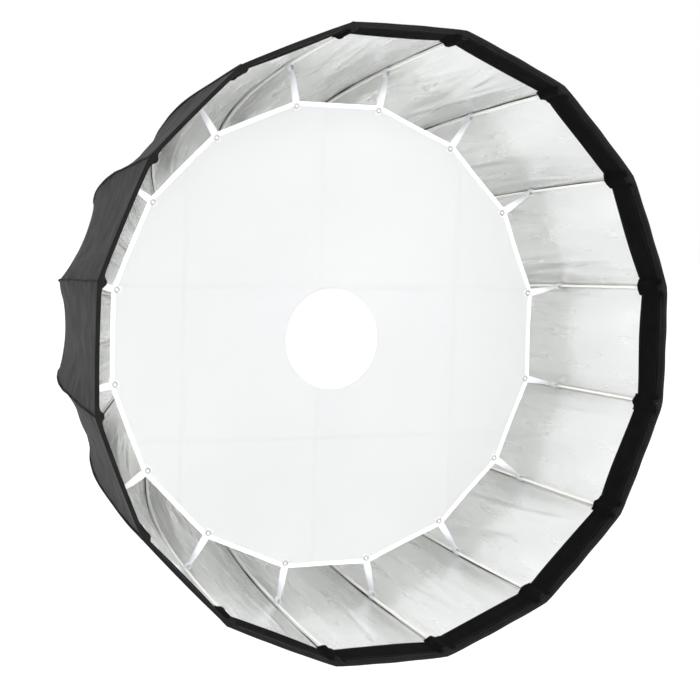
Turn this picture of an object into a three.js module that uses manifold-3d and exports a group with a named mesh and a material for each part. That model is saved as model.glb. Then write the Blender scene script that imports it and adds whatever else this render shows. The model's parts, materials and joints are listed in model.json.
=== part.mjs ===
// A deep sixteen-rib parabolic softbox whose ribs and skin fold forward on the hub, like an umbrella.
//
// Millimetres. The optical axis is Y: the light mounts at y = 0, behind, and the mouth opens towards -Y.
// +Z is up. "Forward" is the distance in front of the mounting plane, so y = -forward.
// Profiles are drawn in the plane of one rib as [radius, forward]. A piece that belongs to a rib or a
// gore is built at the top of the softbox, where +Z is away from the axis, and then turned to its place.

import * as THREE from "three";
import { mergeVertices } from "three/addons/utils/BufferGeometryUtils.js";
import Module from "manifold-3d";

// ---- Driving dimensions ----

// Whole softbox
const RIBS = 16;
const DEPTH = 740; // mounting plane to the plane of the mouth
const MOUTH_RADIUS = 450; // to the outside of the skin at a rib

// Line of a rib
const HINGE_RADIUS = 76;
const HINGE_FORWARD = 20;
const MOUTH_SLOPE = 8; // degrees between the rib and the axis at the mouth
const HUB_SLOPE = 70; // degrees between the rib and the axis at the hinge
const MOUTH_FULLNESS = 0.64; // how long the rib keeps its slope at the mouth, per length of its chord
const HUB_FULLNESS = 0.32; // how long it keeps its slope at the hub, per length of its chord

// Rib
const ROD_RADIUS = 2;
const FOOT_RADIUS = 5.5; // round the hinge wire
const FOOT_LENGTH = 12; // hinge wire to the end of the foot
const FOOT_GRIP = 3; // rod inside the foot
const FOOT_WALL = 1; // foot beside the rod
const FOOT_THICKNESS = 5;

// Skin
const SKIN_THICKNESS = 2;
const LINING_CLEARANCE = 0.9; // strap loop to lining
const LIP_DEPTH = 50; // straight hook-and-loop band inside the mouth
const LIP_THICKNESS = 1.5;
const POCKET_WIDTH = 12; // between the bands of two gores, for the end of the rod
const POCKET_DEPTH = 4; // end of the rod to the plane of the mouth

// Inner diffuser and its straps
const DIFFUSER_SETBACK = 231; // behind the plane of the mouth
const DIFFUSER_THICKNESS = 1.2;
const PATCH_RADIUS = 75;
const PATCH_THICKNESS = 0.8;
const STRAP_REACH = 62; // centre of an eyelet to the centre line of its rib
const EYELET_INSET = 8; // centre of an eyelet to its corner of the diffuser
const EYELET_RADIUS = 4.5;
const EYELET_HOLE = 2;
const EYELET_HEIGHT = 1; // proud of the strap
const STRAP_WIDTH = 11;
const STRAP_THICKNESS = 1.2;
const STRAP_END = 6; // strap beyond its eyelet, towards the axis
const LOOP_CLEARANCE = 0.7; // strap loop to rod

// Bayonet insert, which stays with the light
const SPIGOT_RADIUS = 49.5;
const SPIGOT_WALL = 3.5;
const SPIGOT_LENGTH = 13; // behind the mounting plane
const LUGS = 3;
const LUG_HEIGHT = 5;
const LUG_THICKNESS = 4;
const LUG_ARC = 38; // degrees
const FLANGE_INSET = 11.5; // outside of the hub to the edge of the flange
const FLANGE_THICKNESS = 8;
const SLEEVE_WALL = 6; // the hub turns on the sleeve
const NUT_RIM = 8; // the ring nut keeps the hub on the sleeve
const NUT_THICKNESS = 3.4;
const NUT_NOTCHES = 6;
const NUT_NOTCH_WIDTH = 6;
const NUT_NOTCH_DEPTH = 3;

// Hub
const HUB_RIM = 7.5; // hinge wire to the outside of the hub
const HUB_DEPTH = 22; // along the axis
const SLOT_FLOOR = 3; // hub left behind a slot
const SLOT_INNER = 10; // hinge wire to the inner end of a slot
const COVER_RIM = 5; // hinge wire to the outside of the cover
const COVER_THICKNESS = 2.6;
const WIRE_RADIUS = 1.2;
const CUFF_THICKNESS = 3;

// Clamp screw that holds the turn of the hub
const BOSS_WIDTH = 22;
const BOSS_HEIGHT = 13; // beyond the outside of the hub
const BOSS_ROOT = 4; // where the boss joins the back of the hub
const SCREW_RADIUS = 2;
const KNOB_RADIUS = 8;
const KNOB_LENGTH = 14;
const KNOB_LOBES = 5;
const KNOB_LOBE_HEIGHT = 1.2;
const KNOB_STANDOFF = 2; // left under the knob, taken up as it is tightened

// Fits
const RUNNING = 0.5; // between pieces that turn on each other
const RESTING = 0.3; // between pieces that lie on each other
const SEAM_GAP = 0.4; // between neighbouring gores
const FOOT_CLEARANCE = 0.6; // rib foot to each side of its slot

// Facets
const ROUND = 48; // round the hub
const SMALL_ROUND = 10; // round the screw, the eyelets and the feet
const WIRE_SIDES = 6;
const ROD_SIDES = 6;
const ROD_STEP = 50; // length of a facet along a rod
const SKIN_STEP = 62; // length of a facet along a gore

// ---- Dimensions that follow ----

const PITCH = (2 * Math.PI) / RIBS;
const LOOP_INSIDE = ROD_RADIUS + LOOP_CLEARANCE;
const LOOP_OUTSIDE = LOOP_INSIDE + STRAP_THICKNESS;
const RIB_TO_LINING = LOOP_OUTSIDE + LINING_CLEARANCE;
const RIB_TO_SKIN = RIB_TO_LINING + SKIN_THICKNESS;
const HUB_BACK = FLANGE_THICKNESS + RUNNING;
const HUB_FRONT = HUB_BACK + HUB_DEPTH;
const HUB_RADIUS = HINGE_RADIUS + HUB_RIM;
const FLANGE_RADIUS = HUB_RADIUS - FLANGE_INSET;
const BORE_RADIUS = SPIGOT_RADIUS - SPIGOT_WALL;
const LUG_RADIUS = SPIGOT_RADIUS + LUG_HEIGHT;
const SLEEVE_RADIUS = BORE_RADIUS + SLEEVE_WALL;
const NUT_RADIUS = SLEEVE_RADIUS + NUT_RIM;
const NUT_BACK = HUB_FRONT + RUNNING;
const NUT_FRONT = NUT_BACK + NUT_THICKNESS;
const COVER_BACK = HUB_FRONT + RESTING;
const DIFFUSER_BACK = DEPTH - DIFFUSER_SETBACK;
const DIFFUSER_FRONT = DIFFUSER_BACK + DIFFUSER_THICKNESS;
const PATCH_BACK = DIFFUSER_FRONT + RESTING;
const STRAP_BACK = DIFFUSER_FRONT + RESTING;
const STRAP_FRONT = STRAP_BACK + STRAP_THICKNESS;
const BOSS_FRONT = HUB_BACK - RESTING;
const BOSS_TOP = HUB_RADIUS + BOSS_HEIGHT;
const SCREW_FORWARD = (BOSS_FRONT + RUNNING) / 2;
const KNOB_BASE = BOSS_TOP + KNOB_STANDOFF;

// ---- Solids ----

const wasm = await Module();
wasm.setup();

function solid(geometry) {
  const bare = geometry.clone();
  bare.deleteAttribute("normal");
  bare.deleteAttribute("uv");
  const merged = mergeVertices(bare, 1e-4);
  return new wasm.Manifold(
    new wasm.Mesh({
      numProp: 3,
      vertProperties: merged.attributes.position.array,
      triVerts: new Uint32Array(merged.index.array),
    }),
  );
}

function geometryOf(body) {
  const mesh = body.getMesh();
  const geometry = new THREE.BufferGeometry();
  geometry.setAttribute("position", new THREE.BufferAttribute(mesh.vertProperties, 3));
  geometry.setIndex(new THREE.BufferAttribute(mesh.triVerts, 1));
  const facets = geometry.toNonIndexed();
  facets.computeVertexNormals();
  return facets;
}

// A ring or a disc round the axis. A profile that doesn't start on the axis is closed on itself.
function revolve(profile, segments = ROUND, start = 0) {
  const points = profile.map(([radius, forward]) => new THREE.Vector2(radius, -forward));
  if (THREE.ShapeUtils.area(points) < 0) points.reverse();
  if (points[0].x > 0) points.push(points[0]);
  return new THREE.LatheGeometry(points, segments, start);
}

function ring([inner, outer], [back, front], segments = ROUND) {
  const profile = [
    [inner, back],
    [outer, back],
    [outer, front],
    [inner, front],
  ];
  return revolve(profile, segments);
}

// A box as wide as given, over a stretch forward and a stretch away from the axis.
function block(width, [back, front], [near, far]) {
  const shape = new THREE.BoxGeometry(width, front - back, far - near);
  return shape.translate(0, -(back + front) / 2, (near + far) / 2);
}

function circle(radius) {
  const outline = new THREE.Shape();
  outline.absarc(0, 0, radius, 0, 2 * Math.PI);
  return outline;
}

function prism(outline, depth, curveSegments = SMALL_ROUND / 2) {
  return new THREE.ExtrudeGeometry(outline, { depth, bevelEnabled: false, curveSegments });
}

// A post that stands away from the axis, at a distance forward.
function post(outline, forward, [near, far]) {
  return prism(outline, far - near).translate(0, -forward, near);
}

// A wedge of the space round the axis, each side set back from the half plane that bounds it.
function wedge(angle, setBack, reach, [back, front]) {
  const apex = setBack / Math.sin(angle / 2);
  const spread = (reach - apex) * Math.tan(angle / 2);
  const outline = new THREE.Shape();
  outline.moveTo(0, apex);
  outline.lineTo(spread, reach);
  outline.lineTo(-spread, reach);
  return prism(outline, front - back).rotateX(Math.PI / 2).translate(0, -back, 0);
}

// The same shape repeated round the axis.
function roundAxis(shape, count) {
  const turns = Array.from({ length: count }, (_, i) => (i * 2 * Math.PI) / count);
  return turns.map((turn) => solid(shape.clone().rotateY(turn)));
}

function join(bodies) {
  return bodies.reduce((sum, body) => sum.add(body));
}

function cut(body, tools) {
  return tools.reduce((rest, tool) => rest.subtract(tool), body);
}

// ---- The line of a rib ----

// Points and directions in the plane of a rib are Vector2(radius, forward).
function direction(slopeDegrees) {
  const slope = THREE.MathUtils.degToRad(slopeDegrees);
  return new THREE.Vector2(Math.sin(slope), Math.cos(slope));
}

const hinge = new THREE.Vector2(HINGE_RADIUS, HINGE_FORWARD);
const atHub = direction(HUB_SLOPE);
const atMouth = direction(MOUTH_SLOPE);

// The bow of the rib, from its foot to the back of the lip. In the lip it runs on straight.
function bowedLine() {
  const foot = hinge.clone().addScaledVector(atHub, FOOT_LENGTH - FOOT_GRIP);
  const lip = new THREE.Vector2(MOUTH_RADIUS - RIB_TO_SKIN / atMouth.y, DEPTH);
  lip.addScaledVector(atMouth, -LIP_DEPTH / atMouth.y);
  const chord = lip.distanceTo(foot);
  return new THREE.CubicBezierCurve(
    foot,
    foot.clone().addScaledVector(atHub, HUB_FULLNESS * chord),
    lip.clone().addScaledVector(atMouth, -MOUTH_FULLNESS * chord),
    lip,
  );
}

const bow = bowedLine();
const skinFacets = Math.ceil(bow.getLength() / SKIN_STEP);
const rodFacets = Math.ceil(bow.getLength() / ROD_STEP);

// A line that stands off the bow and the lip, away from the axis.
function besideRib(offset) {
  const points = [];
  for (let step = 0; step <= skinFacets; step += 1) {
    const on = bow.getPoint(step / skinFacets);
    const along = bow.getTangent(step / skinFacets);
    points.push([on.x + offset * along.y, on.y - offset * along.x]);
  }
  const [radius, forward] = points[skinFacets];
  points.push([radius + ((DEPTH - forward) * atMouth.x) / atMouth.y, DEPTH]);
  return points;
}

// The centre line of the rib where it is a given distance forward.
function ribAt(forward) {
  let low = 0;
  let high = 1;
  while (high - low > 1e-6) {
    const middle = (low + high) / 2;
    if (bow.getPoint(middle).y < forward) low = middle;
    else high = middle;
  }
  return { on: bow.getPoint(low), along: bow.getTangent(low) };
}

const strapPlace = ribAt((STRAP_BACK + STRAP_FRONT) / 2);
const eyeletRadius = strapPlace.on.x - STRAP_REACH;
const diffuserRadius = eyeletRadius + EYELET_INSET; // to a corner

// Turns a shape so that its x lies in the rib's plane, square to the rib, its y along the rib and its
// z across the plane.
function ontoRib(on, along) {
  const across = new THREE.Vector3(1, 0, 0);
  const forwards = new THREE.Vector3(0, -along.y, along.x);
  const square = new THREE.Vector3().crossVectors(forwards, across);
  return new THREE.Matrix4().makeBasis(square, forwards, across).setPosition(0, -on.y, on.x);
}

// ---- Sub-parts of the shade ----

// One gore, between two ribs, with the hook-and-loop band of the lip on its lining. The band stops short
// of the ribs, and leaves a pocket for the end of each.
function gore() {
  const outside = besideRib(RIB_TO_SKIN);
  const lining = besideRib(RIB_TO_LINING);
  const lip = lining.slice(-2);
  const radially = (points, by) => points.map(([radius, forward]) => [radius + by, forward]);
  const bandProfile = [...radially(lip, -LIP_THICKNESS), ...radially(lip, SKIN_THICKNESS / 2).reverse()];
  const between = (setBack) => solid(wedge(PITCH, setBack, 2 * MOUTH_RADIUS, [-DEPTH, 2 * DEPTH]));
  const skin = solid(revolve([...lining, ...outside.reverse()], RIBS, -PITCH / 2));
  const band = solid(revolve(bandProfile, RIBS, -PITCH / 2));
  return join([skin.intersect(between(SEAM_GAP / 2)), band.intersect(between(POCKET_WIDTH / 2))]);
}

function ribRod() {
  const onRib = ({ x: radius, y: forward }) => new THREE.Vector3(0, -forward, radius);
  const tip = bow.v3.clone().addScaledVector(atMouth, (LIP_DEPTH - POCKET_DEPTH) / atMouth.y);
  const path = new THREE.CurvePath();
  path.add(new THREE.CubicBezierCurve3(onRib(bow.v0), onRib(bow.v1), onRib(bow.v2), onRib(bow.v3)));
  path.add(new THREE.LineCurve3(onRib(bow.v3), onRib(tip)));
  return new THREE.ExtrudeGeometry(circle(ROD_RADIUS), {
    steps: rodFacets,
    extrudePath: path,
    curveSegments: ROD_SIDES / 2,
  });
}

// The moulded foot: a ring round the hinge wire, and a neck that grips the rod.
function ribFoot() {
  const neck = ROD_RADIUS + FOOT_WALL;
  const outline = new THREE.Shape();
  outline.absarc(0, 0, FOOT_RADIUS, Math.PI, 2 * Math.PI);
  outline.lineTo(neck, FOOT_LENGTH);
  outline.lineTo(-neck, FOOT_LENGTH);
  const eye = new THREE.Path();
  eye.absarc(0, 0, WIRE_RADIUS + RUNNING, 0, 2 * Math.PI);
  outline.holes.push(eye);
  const shape = prism(outline, FOOT_THICKNESS).translate(0, 0, -FOOT_THICKNESS / 2);
  return shape.applyMatrix4(ontoRib(hinge, atHub));
}

function ribWithFoot() {
  return join([solid(ribRod()), solid(ribFoot())]);
}

function innerDiffuser() {
  const profile = [
    [0, DIFFUSER_FRONT],
    [diffuserRadius, DIFFUSER_FRONT],
    [diffuserRadius, DIFFUSER_BACK],
    [0, DIFFUSER_BACK],
  ];
  return revolve(profile, RIBS, -PITCH / 2);
}

function centrePatch() {
  const front = PATCH_BACK + PATCH_THICKNESS;
  const profile = [
    [0, front],
    [PATCH_RADIUS, front],
    [PATCH_RADIUS, PATCH_BACK],
    [0, PATCH_BACK],
  ];
  return revolve(profile);
}

// An elastic strap: a flat run from the eyelet on the diffuser, and a loop round the rib.
function strap() {
  const { on, along } = strapPlace;
  const outline = circle(LOOP_OUTSIDE);
  outline.holes.push(circle(LOOP_INSIDE));
  const loop = prism(outline, STRAP_WIDTH).translate(0, 0, -STRAP_WIDTH / 2);
  loop.rotateX(-Math.PI / 2).applyMatrix4(ontoRib(on, along));
  const run = [eyeletRadius - STRAP_END, on.x - (LOOP_INSIDE + LOOP_OUTSIDE) / 2];
  const tape = block(STRAP_WIDTH, [STRAP_BACK, STRAP_FRONT], run);
  const washer = ring([EYELET_HOLE, EYELET_RADIUS], [STRAP_BACK, STRAP_FRONT + EYELET_HEIGHT], SMALL_ROUND);
  const hole = ring([0, EYELET_HOLE], [STRAP_BACK - 1, STRAP_FRONT + 1], SMALL_ROUND);
  const body = cut(solid(tape), [solid(hole.translate(0, 0, eyeletRadius))]);
  return join([body, solid(washer.translate(0, 0, eyeletRadius)), solid(loop)]);
}

// ---- Sub-parts of the mount ----

function bayonetInsert() {
  const turned = revolve([
    [BORE_RADIUS, -SPIGOT_LENGTH],
    [SPIGOT_RADIUS, -SPIGOT_LENGTH],
    [SPIGOT_RADIUS, 0],
    [FLANGE_RADIUS, 0],
    [FLANGE_RADIUS, FLANGE_THICKNESS],
    [SLEEVE_RADIUS, FLANGE_THICKNESS],
    [SLEEVE_RADIUS, NUT_FRONT],
    [BORE_RADIUS, NUT_FRONT],
  ]);
  const lugEnds = [-SPIGOT_LENGTH, -SPIGOT_LENGTH + LUG_THICKNESS];
  const lugRing = solid(ring([(BORE_RADIUS + SPIGOT_RADIUS) / 2, LUG_RADIUS], lugEnds));
  const sector = wedge(THREE.MathUtils.degToRad(LUG_ARC), 0, 2 * LUG_RADIUS, [-DEPTH, DEPTH]);
  const lugs = roundAxis(sector, LUGS).map((space) => lugRing.intersect(space));
  return join([solid(turned), ...lugs]);
}

function ringNut() {
  const body = ring([SLEEVE_RADIUS + RESTING, NUT_RADIUS], [NUT_BACK, NUT_FRONT]);
  const reach = [NUT_RADIUS - NUT_NOTCH_DEPTH, 2 * NUT_RADIUS];
  const notch = block(NUT_NOTCH_WIDTH, [NUT_BACK - 1, NUT_FRONT + 1], reach);
  return cut(solid(body), roundAxis(notch, NUT_NOTCHES));
}

function hubRing() {
  const body = ring([SLEEVE_RADIUS + RUNNING, HUB_RADIUS], [HUB_BACK, HUB_FRONT]);
  const slot = block(
    FOOT_THICKNESS + 2 * FOOT_CLEARANCE,
    [HUB_BACK + SLOT_FLOOR, HUB_FRONT + 1],
    [HINGE_RADIUS - SLOT_INNER, HUB_RADIUS + 1],
  );
  slot.rotateY(PITCH / 2);
  const wireSpace = WIRE_RADIUS + RUNNING;
  const groove = ring(
    [HINGE_RADIUS - wireSpace, HINGE_RADIUS / Math.cos(PITCH / 2) + wireSpace],
    [HINGE_FORWARD - wireSpace, HUB_FRONT + 1],
  );
  return cut(solid(body), [...roundAxis(slot, RIBS), solid(groove)]);
}

// The boss hangs off the back of the hub at the bottom and carries the clamp screw.
function clampBoss() {
  const base = FLANGE_RADIUS + RUNNING;
  const boss = solid(block(BOSS_WIDTH, [RUNNING, BOSS_FRONT], [base, BOSS_TOP]));
  const web = solid(block(BOSS_WIDTH, [BOSS_FRONT - 1, HUB_BACK + 1], [base, base + BOSS_ROOT]));
  const bore = solid(post(circle(SCREW_RADIUS + RUNNING), SCREW_FORWARD, [0, 2 * BOSS_TOP]));
  return cut(join([boss, web]), [bore]).rotate([0, 180, 0]);
}

function hubCover() {
  return ring(
    [NUT_RADIUS + RUNNING, HINGE_RADIUS + COVER_RIM],
    [COVER_BACK, COVER_BACK + COVER_THICKNESS],
  );
}

// One wire bent into a polygon, each of whose sides is the hinge pin of a rib.
function hingeWire() {
  const corner = 1 / Math.cos(PITCH / 2);
  const profile = [];
  for (let i = 0; i < WIRE_SIDES; i += 1) {
    const turn = (i * 2 * Math.PI) / WIRE_SIDES;
    const radius = HINGE_RADIUS + WIRE_RADIUS * Math.cos(turn);
    profile.push([radius * corner, HINGE_FORWARD + WIRE_RADIUS * Math.sin(turn)]);
  }
  return revolve(profile, RIBS, 0);
}

// The band that draws the back of the skin onto the hub.
function rearCuff() {
  const inside = HUB_RADIUS + RESTING;
  const [[, skinBack]] = besideRib(RIB_TO_SKIN);
  return ring([inside, inside + CUFF_THICKNESS], [HUB_BACK, skinBack - RUNNING]);
}

function knobOutline() {
  const outline = new THREE.Shape();
  for (let i = 0; i < 8 * KNOB_LOBES; i += 1) {
    const turn = (i * Math.PI) / (4 * KNOB_LOBES);
    const radius = KNOB_RADIUS + KNOB_LOBE_HEIGHT * Math.cos(KNOB_LOBES * turn);
    const place = [radius * Math.cos(turn), radius * Math.sin(turn)];
    if (i === 0) outline.moveTo(...place);
    else outline.lineTo(...place);
  }
  return outline;
}

function clampScrew() {
  const tip = FLANGE_RADIUS + RUNNING;
  const stem = solid(post(circle(SCREW_RADIUS), SCREW_FORWARD, [tip, KNOB_BASE + 1]));
  const knob = solid(post(knobOutline(), SCREW_FORWARD, [KNOB_BASE, KNOB_BASE + KNOB_LENGTH]));
  return join([stem, knob]).rotate([0, 180, 0]);
}

// ---- Materials ----

const finish = (color, roughness, metalness) => ({ color, roughness, metalness });
const BLACK_NYLON = finish(0x2b2a2b, 0.85, 0);
const WHITE_GLASS_FIBRE = finish(0xdad8d2, 0.45, 0);
const WHITE_DIFFUSION = finish(0xe9eaee, 0.9, 0);
const WHITE_ELASTIC = finish(0xe4e3e8, 0.85, 0);
const BLACK_ELASTIC = finish(0x19191a, 0.9, 0);
const BLACK_ANODISED = finish(0x1c1c1e, 0.4, 0.9);
const BLACK_MOULDED = finish(0x202022, 0.6, 0);
const SPRING_STEEL = finish(0xa8a8a6, 0.35, 1);

// ---- Assembly ----

const softbox = new THREE.Group();

function place(name, geometry, look, turn = 0) {
  const mesh = new THREE.Mesh(geometry, new THREE.MeshStandardMaterial(look));
  mesh.name = name;
  mesh.rotation.y = turn;
  softbox.add(mesh);
}

place("bayonet_insert", geometryOf(bayonetInsert()), BLACK_ANODISED);
place("ring_nut", geometryOf(ringNut()), BLACK_ANODISED);
place("hub_ring", geometryOf(join([hubRing(), clampBoss()])), BLACK_MOULDED);
place("hub_cover", hubCover(), BLACK_MOULDED);
place("hinge_wire", hingeWire(), SPRING_STEEL);
place("rear_cuff", rearCuff(), BLACK_ELASTIC);
place("clamp_screw", geometryOf(clampScrew()), BLACK_MOULDED);
place("inner_diffuser", innerDiffuser(), WHITE_DIFFUSION);
place("centre_patch", centrePatch(), WHITE_DIFFUSION);

const ribGeometry = geometryOf(ribWithFoot());
const strapGeometry = geometryOf(strap());
const goreGeometry = geometryOf(gore());

// Ribs stand half a pitch to each side of the top. The first is on the left of it, seen from the front,
// and the numbers run clockwise. Each gore has the number of the rib before it.
for (let i = 0; i < RIBS; i += 1) {
  const number = String(i + 1).padStart(2, "0");
  const turn = (i - 0.5) * PITCH;
  place(`rib_${number}`, ribGeometry, WHITE_GLASS_FIBRE, turn);
  place(`strap_${number}`, strapGeometry, WHITE_ELASTIC, turn);
  place(`gore_${number}`, goreGeometry, BLACK_NYLON, turn + PITCH / 2);
}

export default softbox;
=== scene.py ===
import json
import math

import bpy
import numpy as np
from mathutils import Matrix, Vector


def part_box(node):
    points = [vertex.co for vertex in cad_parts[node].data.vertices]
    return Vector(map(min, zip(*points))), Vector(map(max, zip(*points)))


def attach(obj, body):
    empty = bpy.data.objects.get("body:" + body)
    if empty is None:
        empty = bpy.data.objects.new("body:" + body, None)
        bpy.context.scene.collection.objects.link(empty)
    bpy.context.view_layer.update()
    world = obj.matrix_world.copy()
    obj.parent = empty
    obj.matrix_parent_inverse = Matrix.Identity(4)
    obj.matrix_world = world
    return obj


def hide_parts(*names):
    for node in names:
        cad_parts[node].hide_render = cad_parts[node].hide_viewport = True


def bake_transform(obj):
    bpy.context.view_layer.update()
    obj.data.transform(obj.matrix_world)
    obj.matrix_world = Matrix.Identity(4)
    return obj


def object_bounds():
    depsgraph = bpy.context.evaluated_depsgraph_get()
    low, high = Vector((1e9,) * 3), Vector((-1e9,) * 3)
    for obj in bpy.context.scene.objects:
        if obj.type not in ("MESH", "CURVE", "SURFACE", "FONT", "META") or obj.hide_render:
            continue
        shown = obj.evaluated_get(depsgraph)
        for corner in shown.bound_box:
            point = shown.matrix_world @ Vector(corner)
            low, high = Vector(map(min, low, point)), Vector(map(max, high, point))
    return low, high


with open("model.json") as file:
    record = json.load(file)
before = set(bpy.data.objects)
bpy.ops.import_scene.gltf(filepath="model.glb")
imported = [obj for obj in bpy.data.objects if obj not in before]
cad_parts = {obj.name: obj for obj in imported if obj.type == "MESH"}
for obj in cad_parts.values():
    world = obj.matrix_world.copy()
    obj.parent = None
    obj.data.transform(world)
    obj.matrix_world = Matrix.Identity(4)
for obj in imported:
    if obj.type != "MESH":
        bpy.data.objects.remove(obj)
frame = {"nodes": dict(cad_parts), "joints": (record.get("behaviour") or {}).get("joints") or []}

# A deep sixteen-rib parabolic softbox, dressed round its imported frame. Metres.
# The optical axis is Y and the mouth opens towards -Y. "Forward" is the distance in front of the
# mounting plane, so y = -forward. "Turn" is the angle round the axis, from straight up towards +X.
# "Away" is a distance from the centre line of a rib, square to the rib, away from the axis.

cad_low, cad_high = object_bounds()

# ---- Sizes ----

RIBS = sum(name.startswith("rib_") for name in frame["nodes"])
PITCH = 2 * math.pi / RIBS
HALF_PITCH = PITCH / 2
NUMBERS = [f"{i + 1:02d}" for i in range(RIBS)]
fold = next(joint for joint in frame["joints"] if joint["name"] == "rib_01_fold")
HINGE_RADIUS = math.hypot(fold["pos_m"][0], fold["pos_m"][2])
HINGE_FORWARD = -fold["pos_m"][1]
DEPTH = -cad_low.y
MOUTH_RADIUS = cad_high.x / math.cos(HALF_PITCH)

# The line of a rib
MOUTH_SLOPE = math.radians(8)
HUB_SLOPE = math.radians(70)
MOUTH_FULLNESS = 0.64
HUB_FULLNESS = 0.32
ROD_START = 0.009
ROD_RADIUS = 0.002
ROD_END_GAP = 0.004

# Layers of a gore, as distances away from the rib's centre line
LINING_AWAY = 0.0048
LINING_THICKNESS = 0.0005
SKIN_AWAY = 0.0068
SKIN_THICKNESS = 0.0007
LIP_DEPTH = 0.050
BAND_THICKNESS = 0.0012
BAND_SHORT_OF_RIB = 0.006
BAND_FACE = LINING_AWAY - 0.0003 - BAND_THICKNESS
SEAM_SET_BACK = 0.00015
LINING_SET_BACK = 0.0005
SHORT_OF_MOUTH = 0.003
DIP_MIDDLE = 0.0105
DIP_MOUTH = -0.0015

# Inner diffuser and straps
diffuser_low, diffuser_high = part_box("inner_diffuser")
DIFFUSER_CORNER = diffuser_high.x / math.cos(HALF_PITCH)
DIFFUSER_FORWARD = -(diffuser_low.y + diffuser_high.y) / 2
DIFFUSER_HALF = 0.00035
HEM_WIDTH = 0.0066
HEM_HALF = 0.0008
STRAP_REACH = 0.062
STRAP_FORWARD = -diffuser_low.y + 0.0009
STRAP_WIDTH = 0.011
STRAP_THICKNESS = 0.0010
STRAP_END = 0.006
LOOP_RADIUS = 0.0033
PATCH_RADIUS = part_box("centre_patch")[1].x
PATCH_DROP = 0.004


# ---- Grids, rings and meshes from arrays ----


def grid(start, end, rows, columns, edge=1.0):
    """Two values over a grid: one runs along it from start to end, the other across it from -edge to
    edge."""
    return np.meshgrid(np.linspace(start, end, rows), np.linspace(-edge, edge, columns), indexing="ij")


def circle(count):
    """Angles at equal steps once round a circle."""
    return np.arange(count) * 2 * math.pi / count


def flattened(wave, power):
    """A sine or cosine made squarer: its size to a power below 1, with its own sign."""
    return np.sign(wave) * np.abs(wave) ** power


def paired(first, second):
    """Two arrays, spread over each other, as the two cloth coordinates of each point."""
    return np.stack(np.broadcast_arrays(first, second), -1)


def grid_faces(rows, columns, closed_rows=False, closed_columns=False):
    """Quads of a grid of points, row by row. A closed side joins its last line of points to its first."""
    i = np.arange(rows if closed_rows else rows - 1)[:, None]
    j = np.arange(columns if closed_columns else columns - 1)[None, :]
    i_next, j_next = (i + 1) % rows, (j + 1) % columns
    corners = [i * columns + j, i_next * columns + j, i_next * columns + j_next, i * columns + j_next]
    return np.stack(np.broadcast_arrays(*corners), -1).reshape(-1, 4)


def part(points, faces, cloth=None):
    """A closed body: points, face arrays of three or more corners, and cloth coordinates per point.
    Its volume, the sum of the tetrahedra from the origin to each face, has to be positive, so the
    faces are turned round where it isn't."""
    points = points.reshape(-1, 3)
    cloth = np.zeros((len(points), 2)) if cloth is None else cloth.reshape(-1, 2)
    triangles = np.vstack([f[:, [0, a, a + 1]] for f in faces for a in range(1, f.shape[1] - 1)])
    a, b, c = (points[triangles[:, corner]] for corner in range(3))
    if np.einsum("ij,ij->", a, np.cross(b, c)) < 0:
        faces = [f[:, ::-1] for f in faces]
    return points, faces, cloth


def wall(outer, inner, cloth):
    """A sheet with thickness: an outer grid, an inner grid, and a strip round their four edges."""
    rows, columns = outer.shape[:2]
    index = np.arange(rows * columns).reshape(rows, columns)
    edge = np.concatenate([index[0, :-1], index[:-1, -1], index[-1, :0:-1], index[:0:-1, 0]])
    after = np.roll(edge, -1)
    quads = grid_faces(rows, columns)
    strip = np.stack([edge, after, after + index.size, edge + index.size], -1)
    points = np.concatenate([outer.reshape(-1, 3), inner.reshape(-1, 3)])
    return part(points, [quads[:, ::-1], quads + index.size, strip], np.concatenate([cloth, cloth]))


def rod(rings, cloth=None):
    """A bar through rings of points, with a fan of triangles on each end."""
    count, around = rings.shape[:2]
    first, last = count * around, count * around + 1
    j = np.arange(around)
    j_next = (j + 1) % around
    start = np.stack([np.full(around, first), j_next, j], -1)
    end_ring = (count - 1) * around
    end = np.stack([np.full(around, last), end_ring + j, end_ring + j_next], -1)
    ends = np.stack([rings[0].mean(0), rings[-1].mean(0)])
    points = np.concatenate([rings.reshape(-1, 3), ends])
    if cloth is not None:
        cloth = np.concatenate([cloth.reshape(-1, 2), cloth[0, :1], cloth[-1, :1]])
    return part(points, [grid_faces(count, around, closed_columns=True), start, end], cloth)


def hoop(rings, cloth=None):
    """A ring through rings of points, the last joined to the first."""
    return part(rings, [grid_faces(*rings.shape[:2], True, True)], cloth)


def make(name, parts, finish, crease=40):
    """One mesh object of several closed bodies. Edges sharper than the crease angle stay sharp."""
    starts = np.cumsum([0] + [len(points) for points, _, _ in parts])
    faces = [f + start for start, (_, fs, _) in zip(starts, parts) for f in fs]
    corners = np.concatenate([f.ravel() for f in faces]).astype(np.int32)
    sizes = np.concatenate([np.full(len(f), f.shape[1]) for f in faces])
    cloth = np.concatenate([c for _, _, c in parts])
    mesh = bpy.data.meshes.new(name)
    mesh.vertices.add(starts[-1])
    mesh.vertices.foreach_set("co", np.concatenate([p for p, _, _ in parts]).astype(np.float32).ravel())
    mesh.loops.add(len(corners))
    mesh.loops.foreach_set("vertex_index", corners)
    mesh.polygons.add(len(sizes))
    mesh.polygons.foreach_set("loop_start", np.concatenate([[0], np.cumsum(sizes)[:-1]]).astype(np.int32))
    mesh.polygons.foreach_set("use_smooth", np.ones(len(sizes), bool))
    mesh.update(calc_edges=True)
    layer = mesh.uv_layers.new(name="Cloth")
    layer.data.foreach_set("uv", cloth[corners].astype(np.float32).ravel())
    mesh.set_sharp_from_angle(angle=math.radians(crease))
    mesh.materials.append(finish)
    piece = bpy.data.objects.new(name, mesh)
    bpy.context.scene.collection.objects.link(piece)
    return piece


# ---- The line of a rib and the surface of a gore ----


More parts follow.
